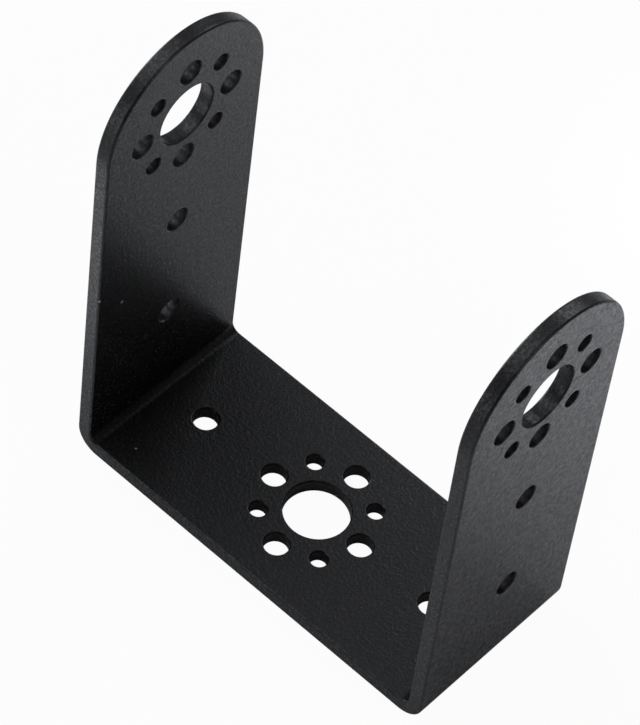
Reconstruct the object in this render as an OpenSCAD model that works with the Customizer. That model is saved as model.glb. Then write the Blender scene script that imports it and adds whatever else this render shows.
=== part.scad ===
// Servo U-bracket: one strip of sheet metal, drilled flat and folded into a U.
// The base lies on Z = 0 with its centre on the Z axis, the arms stand up at both ends of X,
// and the strip's width runs along Y. The base and both arms carry the same holes for a servo horn.

/* [Sheet] */
// Thickness of the finished sheet
sheet_t = 2; // [1.5:0.1:3]
// Width of the strip
strip_w = 25; // [22:0.5:40]
// Rounding of the strip's cut edges
edge_r = 0.3; // [0.1:0.05:0.6]
// Rounding of the holes' rims
rim_r = 0.2; // [0.05:0.05:0.3]
// Inside radius of both bends
bend_r = 1.2; // [0.5:0.1:4]

/* [U shape] */
// Length over the outer faces of the arms
outer_l = 55.8; // [52:0.1:90]
// Height of the arms' horn patterns above the underside
horn_h = 52; // [48:0.5:90]

/* [Horn pattern] */
// Diameter of the centre hole
centre_d = 8.3; // [5:0.1:9]
// Diameter of the circle that carries the screw holes
screw_circle_d = 14.1; // [13:0.1:16]
// Diameter of the large screw holes, on the strip's own axes
large_d = 3.2; // [2:0.1:3.4]
// Diameter of the small screw holes, on the diagonals
small_d = 2.2; // [1.5:0.1:2.4]

/* [Single holes] */
// Diameter of the single holes
single_d = 3.2; // [2:0.1:4]
// Distance between the two single holes of the base
base_pair = 37; // [30:0.5:40]
// Distance between the two single holes of each arm
arm_pair = 17; // [10:0.5:20]
// Height of the arms' lower single holes above the underside
arm_low_h = 16.4; // [8:0.1:22]

/* [Hidden] */
$fn = 96;
// How far a hole's cutter runs past the faces it opens
cutter_past = 1;
// Outside radius of the bends
bend_outer_r = bend_r + sheet_t;
// Length of the base between the two bends
base_flat = outer_l - 2 * bend_outer_r;
// Length of each arm between its bend and its round tip
arm_flat = horn_h - bend_outer_r;
// Where an arm's inner face stands along X
arm_inner_x = outer_l / 2 - sheet_t;
// Holes of each size on the screw circle, and the angle from one to the next
holes_per_size = 4;
hole_step = 360 / holes_per_size;

// The strip's section with rounded edges: thickness along X from 0, width along Y about 0
module strip_section() {
    translate([0, edge_r - strip_w / 2])
        square([sheet_t, strip_w - 2 * edge_r]);
    translate([edge_r, -strip_w / 2])
        square([sheet_t - 2 * edge_r, strip_w]);
    for (x = [edge_r, sheet_t - edge_r], side = [-1, 1])
        translate([x, side * (strip_w / 2 - edge_r)]) circle(edge_r);
}

// Half of the section, from the strip's middle out along X, with its thickness along Y
module half_section() {
    mirror([1, -1])
        intersection() {
            strip_section();
            square([sheet_t, strip_w / 2]);
        }
}

// The flat base between the bends
module base_strip() {
    rotate([0, -90, 0])
        linear_extrude(base_flat, center = true)
            strip_section();
}

// One quarter turn of the strip, from the base up into an arm
module bend() {
    translate([base_flat / 2, 0, bend_outer_r])
        rotate([90, 0, 0])
            rotate([0, 0, -90])
                rotate_extrude(angle = 90)
                    translate([bend_r, 0])
                        strip_section();
}

// One arm above its bend, with a half-round tip about the horn pattern's centre
module arm() {
    translate([arm_inner_x, 0, bend_outer_r])
        linear_extrude(arm_flat)
            strip_section();
    translate([arm_inner_x, 0, horn_h])
        rotate([0, 90, 0])
            rotate([0, 0, 90])
                rotate_extrude(angle = 180)
                    half_section();
}

// The cutter of one hole through a sheet that lies from Z = 0 up, with a rounded rim on both faces
module hole(d) {
    rotate_extrude()
        difference() {
            translate([0, -cutter_past])
                square([d / 2 + rim_r, sheet_t + 2 * cutter_past]);
            translate([d / 2, rim_r])
                square([2 * rim_r, sheet_t - 2 * rim_r]);
            for (z = [rim_r, sheet_t - rim_r])
                translate([d / 2 + rim_r, z]) circle(rim_r);
        }
}

// The holes that a servo horn bolts to, about the Z axis
module horn_pattern() {
    hole(centre_d);
    for (i = [0 : holes_per_size - 1]) {
        rotate(i * hole_step)
            translate([screw_circle_d / 2, 0, 0]) hole(large_d);
        rotate((i + 0.5) * hole_step)
            translate([screw_circle_d / 2, 0, 0]) hole(small_d);
    }
}

// Everything drilled through the base
module base_holes() {
    horn_pattern();
    for (side = [-1, 1])
        translate([side * base_pair / 2, 0, 0]) hole(single_d);
}

// Everything drilled through one arm; the pattern's X runs down the arm
module arm_holes() {
    translate([arm_inner_x, 0, horn_h])
        rotate([0, 90, 0]) {
            horn_pattern();
            for (h = [arm_low_h, arm_low_h + arm_pair])
                translate([horn_h - h, 0, 0]) hole(single_d);
        }
}

// The folded sheet
module u_bracket() {
    color([0.07, 0.07, 0.075])
        difference() {
            union() {
                base_strip();
                for (side = [0, 1])
                    mirror([side, 0, 0]) {
                        bend();
                        arm();
                    }
            }
            base_holes();
            for (side = [0, 1])
                mirror([side, 0, 0]) arm_holes();
        }
}

u_bracket();
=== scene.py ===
# Servo U-bracket in its black powder coat, on a white floor in soft studio light.
import math

import bmesh
import bpy
from mathutils import Matrix, Vector

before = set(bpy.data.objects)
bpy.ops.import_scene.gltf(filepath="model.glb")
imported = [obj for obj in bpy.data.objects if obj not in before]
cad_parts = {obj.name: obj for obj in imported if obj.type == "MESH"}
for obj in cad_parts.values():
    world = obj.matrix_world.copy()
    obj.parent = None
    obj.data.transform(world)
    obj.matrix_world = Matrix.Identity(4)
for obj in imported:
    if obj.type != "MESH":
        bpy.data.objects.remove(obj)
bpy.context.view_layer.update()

MM = 0.001
WHITE = (1, 1, 1, 1)

# Camera: the photograph's viewpoint, with the view's centre a little behind the base
VIEW_AZIMUTH = 36.51
VIEW_ELEVATION = 52.46
VIEW_ROLL = 8.26
VIEW_CENTRE = Vector((-10.56, 10.59, 11.37)) * MM
VIEW_DISTANCE = 472.2 * MM
LENS_MM = 196.05
SENSOR_MM = 36
CLIP_NEAR, CLIP_FAR = VIEW_DISTANCE / 100, 100

# Powder coat: a near black with a fine sandy grain over a faint orange peel
COAT_SPECULAR = 0.5
GRAIN_SIZE = 0.38 * MM
GRAIN_DEPTH = 0.034 * MM
GRAIN_DETAIL = 2.0
GRAIN_FALLOFF = 0.5
PEEL_SIZE = 1.4 * MM
PEEL_DEPTH = 0.006 * MM
PEEL_DETAIL = 1.0

# The grain's height runs from 0 to 1: its tops are paler and smoother than its hollows
COAT_DARK = (0.001, 0.001, 0.0012, 1)
COAT_PALE = (0.028, 0.028, 0.03, 1)
PALE_FROM, PALE_TO = 0.48, 0.66
ROUGH_HOLLOW, ROUGH_TOP = 0.48, 0.22
SMOOTH_FROM, SMOOTH_TO = 0.3, 0.7

# Dust left on the coat, and painted highlights at the lower hole of the left arm: a speck's place on
# the bracket and its radius
DUST_AND_HIGHLIGHT_COLOUR = (0.45, 0.45, 0.46, 1)
DUST_AND_HIGHLIGHT_CORE = 0.6
DUST_AND_HIGHLIGHT_SPECKS = (
    (Vector((-21.17, -9.31, 2.0)) * MM, 0.15 * MM),
    (Vector((-25.9, -8.52, 25.45)) * MM, 0.26 * MM),
    (Vector((-25.85, -12.42, 28.82)) * MM, 0.27 * MM),
    # The last three specks are painted highlights, not dust: a pale dot and a crescent of light on the
    # rim and wall of the lower hole in the left arm
    (Vector((-25.9, -0.37, 17.27)) * MM, 0.2 * MM),
    (Vector((-25.9, -0.73, 15.07)) * MM, 0.24 * MM),
    (Vector((-25.9, -0.14, 15.14)) * MM, 0.26 * MM),
)

# White floor, with the share of its white that glows where it is seen or mirrored
FLOOR_SIZE = 3.0
FLOOR_WHITE = (0.86, 0.86, 0.86, 1)
FLOOR_GLOW_SEEN = 0.96
FLOOR_GLOW_MIRRORED = 0.02

# Surroundings: a level at the horizon and one overhead, and the heights between which it changes
HORIZON_LEVEL, SKY_LEVEL = 0.04, 0.02
HORIZON_TO, SKY_FROM = 0.05, 0.35

# Softboxes that face the bracket: bearing from +X towards +Y, elevation, width in metres, watts
LAMP_COLOUR = (0.93, 0.95, 1.0)
SOFTBOX_AIM = Vector((0, 0, 30)) * MM
SOFTBOX_DISTANCE = 0.7
SOFTBOXES = {
    "low_left": (175, 12, 0.36, 3.1),
    "low_front": (240, 12, 0.36, 0.5),
    "back": (100, 38, 0.36, 0.92),
    "high_left": (173, 62, 0.42, 0.5),
    "front_left": (216, 56, 0.44, 0.62),
    "right": (0, 35, 0.36, 0.9),
}

# Small lamps that face down and light a patch of the floor: place, width in metres, spread, watts
FLOOR_LAMPS = {
    "floor_right": (Vector((72, 56, 150)) * MM, 0.03, 40, 0.0114),
    "floor_back": (Vector((10, 78, 150)) * MM, 0.03, 28, 0.006),
    "floor_left": (Vector((-48, -39, 150)) * MM, 0.02, 17, 0.0022),
}


def add_node(tree, kind, **inputs):
    """A new node with its named input values set."""
    node = tree.nodes.new(kind)
    for name, value in inputs.items():
        node.inputs[name.replace("_", " ")].default_value = value
    return node


def add_math(tree, operation):
    """A new math node that does the named operation."""
    node = tree.nodes.new("ShaderNodeMath")
    node.operation = operation
    return node


def new_material(name):
    """An empty node material and its output node."""
    material = bpy.data.materials.new(name)
    material.use_nodes = True
    material.node_tree.nodes.clear()
    output = material.node_tree.nodes.new("ShaderNodeOutputMaterial")
    return material, output


def dust_and_highlight_share(tree, place):
    """How much of each spot is dust or painted highlight: 1 in the middle of a speck, 0 on the clean
    coat.
    """
    share = None
    for centre, radius in DUST_AND_HIGHLIGHT_SPECKS:
        away = tree.nodes.new("ShaderNodeVectorMath")
        away.operation = "DISTANCE"
        away.inputs[1].default_value = centre
        tree.links.new(place, away.inputs[0])
        speck = add_node(tree, "ShaderNodeMapRange", From_Min=radius, From_Max=radius * DUST_AND_HIGHLIGHT_CORE)
        tree.links.new(away.outputs["Value"], speck.inputs["Value"])
        if share is None:
            share = speck.outputs["Result"]
            continue
        most = add_math(tree, "MAXIMUM")
        tree.links.new(share, most.inputs[0])
        tree.links.new(speck.outputs["Result"], most.inputs[1])
        share = most.outputs["Value"]
    return share


def coat_colour(tree, grain, place):
    """The coat's tone by the grain's height, with the dust and the painted highlights on it."""
    tone = tree.nodes.new("ShaderNodeValToRGB")
    hollow, top = tone.color_ramp.elements
    hollow.position, hollow.color = PALE_FROM, COAT_DARK
    top.position, top.color = PALE_TO, COAT_PALE
    tree.links.new(grain, tone.inputs["Fac"])
    dusted_and_highlighted = tree.nodes.new("ShaderNodeMix")
    dusted_and_highlighted.data_type = "RGBA"
    dusted_and_highlighted.inputs["B"].default_value = DUST_AND_HIGHLIGHT_COLOUR
    tree.links.new(dust_and_highlight_share(tree, place), dusted_and_highlighted.inputs["Factor"])
    tree.links.new(tone.outputs["Color"], dusted_and_highlighted.inputs["A"])
    return dusted_and_highlighted.outputs["Result"]


def coat_relief(tree, grain, peel):
    """The coat's normal: the grain's bumps over the orange peel's."""
    peel_bump = add_node(tree, "ShaderNodeBump", Strength=1.0, Distance=PEEL_DEPTH)
    tree.links.new(peel, peel_bump.inputs["Height"])
    grain_bump = add_node(tree, "ShaderNodeBump", Strength=1.0, Distance=GRAIN_DEPTH)
    tree.links.new(grain, grain_bump.inputs["Height"])
    tree.links.new(peel_bump.outputs["Normal"], grain_bump.inputs["Normal"])
    return grain_bump.outputs["Normal"]


def black_powder_coat():
    """Black powder coat: colour, roughness and relief from one fine grain."""
    material, output = new_material("black_powder_coat")
    tree = material.node_tree
    link = tree.links.new
    place = tree.nodes.new("ShaderNodeTexCoord").outputs["Object"]
    grain = add_node(tree, "ShaderNodeTexNoise", Scale=1 / GRAIN_SIZE, Detail=GRAIN_DETAIL,
                     Roughness=GRAIN_FALLOFF)
    peel = add_node(tree, "ShaderNodeTexNoise", Scale=1 / PEEL_SIZE, Detail=PEEL_DETAIL)
    link(place, grain.inputs["Vector"])
    link(place, peel.inputs["Vector"])
    height = grain.outputs["Fac"]

    gloss = add_node(tree, "ShaderNodeMapRange", From_Min=SMOOTH_FROM, From_Max=SMOOTH_TO,
                     To_Min=ROUGH_HOLLOW, To_Max=ROUGH_TOP)
    link(height, gloss.inputs["Value"])
    coat = add_node(tree, "ShaderNodeBsdfPrincipled", Specular_IOR_Level=COAT_SPECULAR)
    link(coat_colour(tree, height, place), coat.inputs["Base Color"])
    link(gloss.outputs["Result"], coat.inputs["Roughness"])
    link(coat_relief(tree, height, peel.outputs["Fac"]), coat.inputs["Normal"])
    link(coat.outputs["BSDF"], output.inputs["Surface"])
    return material


def white_floor():
    """White floor that takes shadows, with part of its white shown as a glow to the camera."""
    material, output = new_material("white_floor")
    tree = material.node_tree
    link = tree.links.new
    path = tree.nodes.new("ShaderNodeLightPath")
    seen = add_math(tree, "MAXIMUM")
    link(path.outputs["Is Camera Ray"], seen.inputs[0])
    link(path.outputs["Is Transmission Ray"], seen.inputs[1])
    mirrored = add_math(tree, "MULTIPLY")
    mirrored.inputs[1].default_value = FLOOR_GLOW_MIRRORED
    link(path.outputs["Is Glossy Ray"], mirrored.inputs[0])
    share = add_math(tree, "MULTIPLY_ADD")
    share.inputs[1].default_value = FLOOR_GLOW_SEEN
    link(seen.outputs["Value"], share.inputs[0])
    link(mirrored.outputs["Value"], share.inputs[2])

    lit = add_node(tree, "ShaderNodeBsdfDiffuse", Color=FLOOR_WHITE)
    glow = add_node(tree, "ShaderNodeEmission", Color=WHITE, Strength=1.0)
    mix = tree.nodes.new("ShaderNodeMixShader")
    link(share.outputs["Value"], mix.inputs["Fac"])
    link(lit.outputs["BSDF"], mix.inputs[1])
    link(glow.outputs["Emission"], mix.inputs[2])
    link(mix.outputs["Shader"], output.inputs["Surface"])
    return material


def add_floor():
    """A flat floor under the bracket."""
    shape = bmesh.new()
    bmesh.ops.create_grid(shape, x_segments=1, y_segments=1, size=FLOOR_SIZE / 2)
    mesh = bpy.data.meshes.new("floor")
    shape.to_mesh(mesh)
    shape.free()
    mesh.materials.append(white_floor())
    floor = bpy.data.objects.new("floor", mesh)
    bpy.context.scene.collection.objects.link(floor)


def add_sky():
    """Soft surroundings, pale at the horizon and dim overhead."""
    world = bpy.data.worlds.new("studio")
    bpy.context.scene.world = world
    world.use_nodes = True
    tree = world.node_tree
    tree.nodes.clear()
    link = tree.links.new
    place = tree.nodes.new("ShaderNodeTexCoord")
    split = tree.nodes.new("ShaderNodeSeparateXYZ")
    link(place.outputs["Generated"], split.inputs["Vector"])
    level = add_node(tree, "ShaderNodeMapRange", From_Min=HORIZON_TO, From_Max=SKY_FROM,
                     To_Min=HORIZON_LEVEL, To_Max=SKY_LEVEL)
    link(split.outputs["Z"], level.inputs["Value"])
    background = add_node(tree, "ShaderNodeBackground", Color=WHITE)
    link(level.outputs["Result"], background.inputs["Strength"])
    output = tree.nodes.new("ShaderNodeOutputWorld")
    link(background.outputs["Background"], output.inputs["Surface"])


def add_lamp(name, place, width, power):
    """A square soft light that faces straight down."""
    light = bpy.data.lights.new(name, "AREA")
    light.shape = "SQUARE"
    light.size = width
    light.color = LAMP_COLOUR
    light.energy = power
    lamp = bpy.data.objects.new(name, light)
    lamp.location = place
    bpy.context.scene.collection.objects.link(lamp)
    return lamp


def add_lamps():
    """The softboxes round the bracket, and the small lamps over the floor."""
    for name, (bearing, elevation, width, power) in SOFTBOXES.items():
        bearing, elevation = math.radians(bearing), math.radians(elevation)
        way = Vector((math.cos(bearing) * math.cos(elevation), math.sin(bearing) * math.cos(elevation),
                      math.sin(elevation)))
        lamp = add_lamp(name, SOFTBOX_AIM + way * SOFTBOX_DISTANCE, width, power)
        lamp.rotation_euler = way.to_track_quat("Z", "Y").to_euler()
    for name, (place, width, spread, power) in FLOOR_LAMPS.items():
        lamp = add_lamp(name, place, width, power)
        lamp.data.spread = math.radians(spread)


def add_camera():
    """The photograph's camera."""
    azimuth, elevation, roll = (math.radians(a) for a in (VIEW_AZIMUTH, VIEW_ELEVATION, VIEW_ROLL))
    back = Vector((math.sin(azimuth) * math.cos(elevation), -math.cos(azimuth) * math.cos(elevation),
                   math.sin(elevation)))
    level_right = Vector((math.cos(azimuth), math.sin(azimuth), 0))
    level_up = back.cross(level_right)
    right = level_right * math.cos(roll) + level_up * math.sin(roll)
    up = level_up * math.cos(roll) - level_right * math.sin(roll)
    data = bpy.data.cameras.new("camera")
    data.lens = LENS_MM
    data.sensor_width = SENSOR_MM
    data.clip_start, data.clip_end = CLIP_NEAR, CLIP_FAR
    camera = bpy.data.objects.new("camera", data)
    turn = Matrix((right, up, back)).transposed().to_4x4()
    camera.matrix_world = Matrix.Translation(VIEW_CENTRE + back * VIEW_DISTANCE) @ turn
    bpy.context.scene.collection.objects.link(camera)
    bpy.context.scene.camera = camera


def coat_bracket():
    """The CAD bracket in its coat."""
    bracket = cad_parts["u_bracket"]
    bracket.data.materials.clear()
    bracket.data.materials.append(black_powder_coat())


bpy.context.scene.view_settings.view_transform = "Standard"
coat_bracket()
add_floor()
add_sky()
add_lamps()
add_camera()
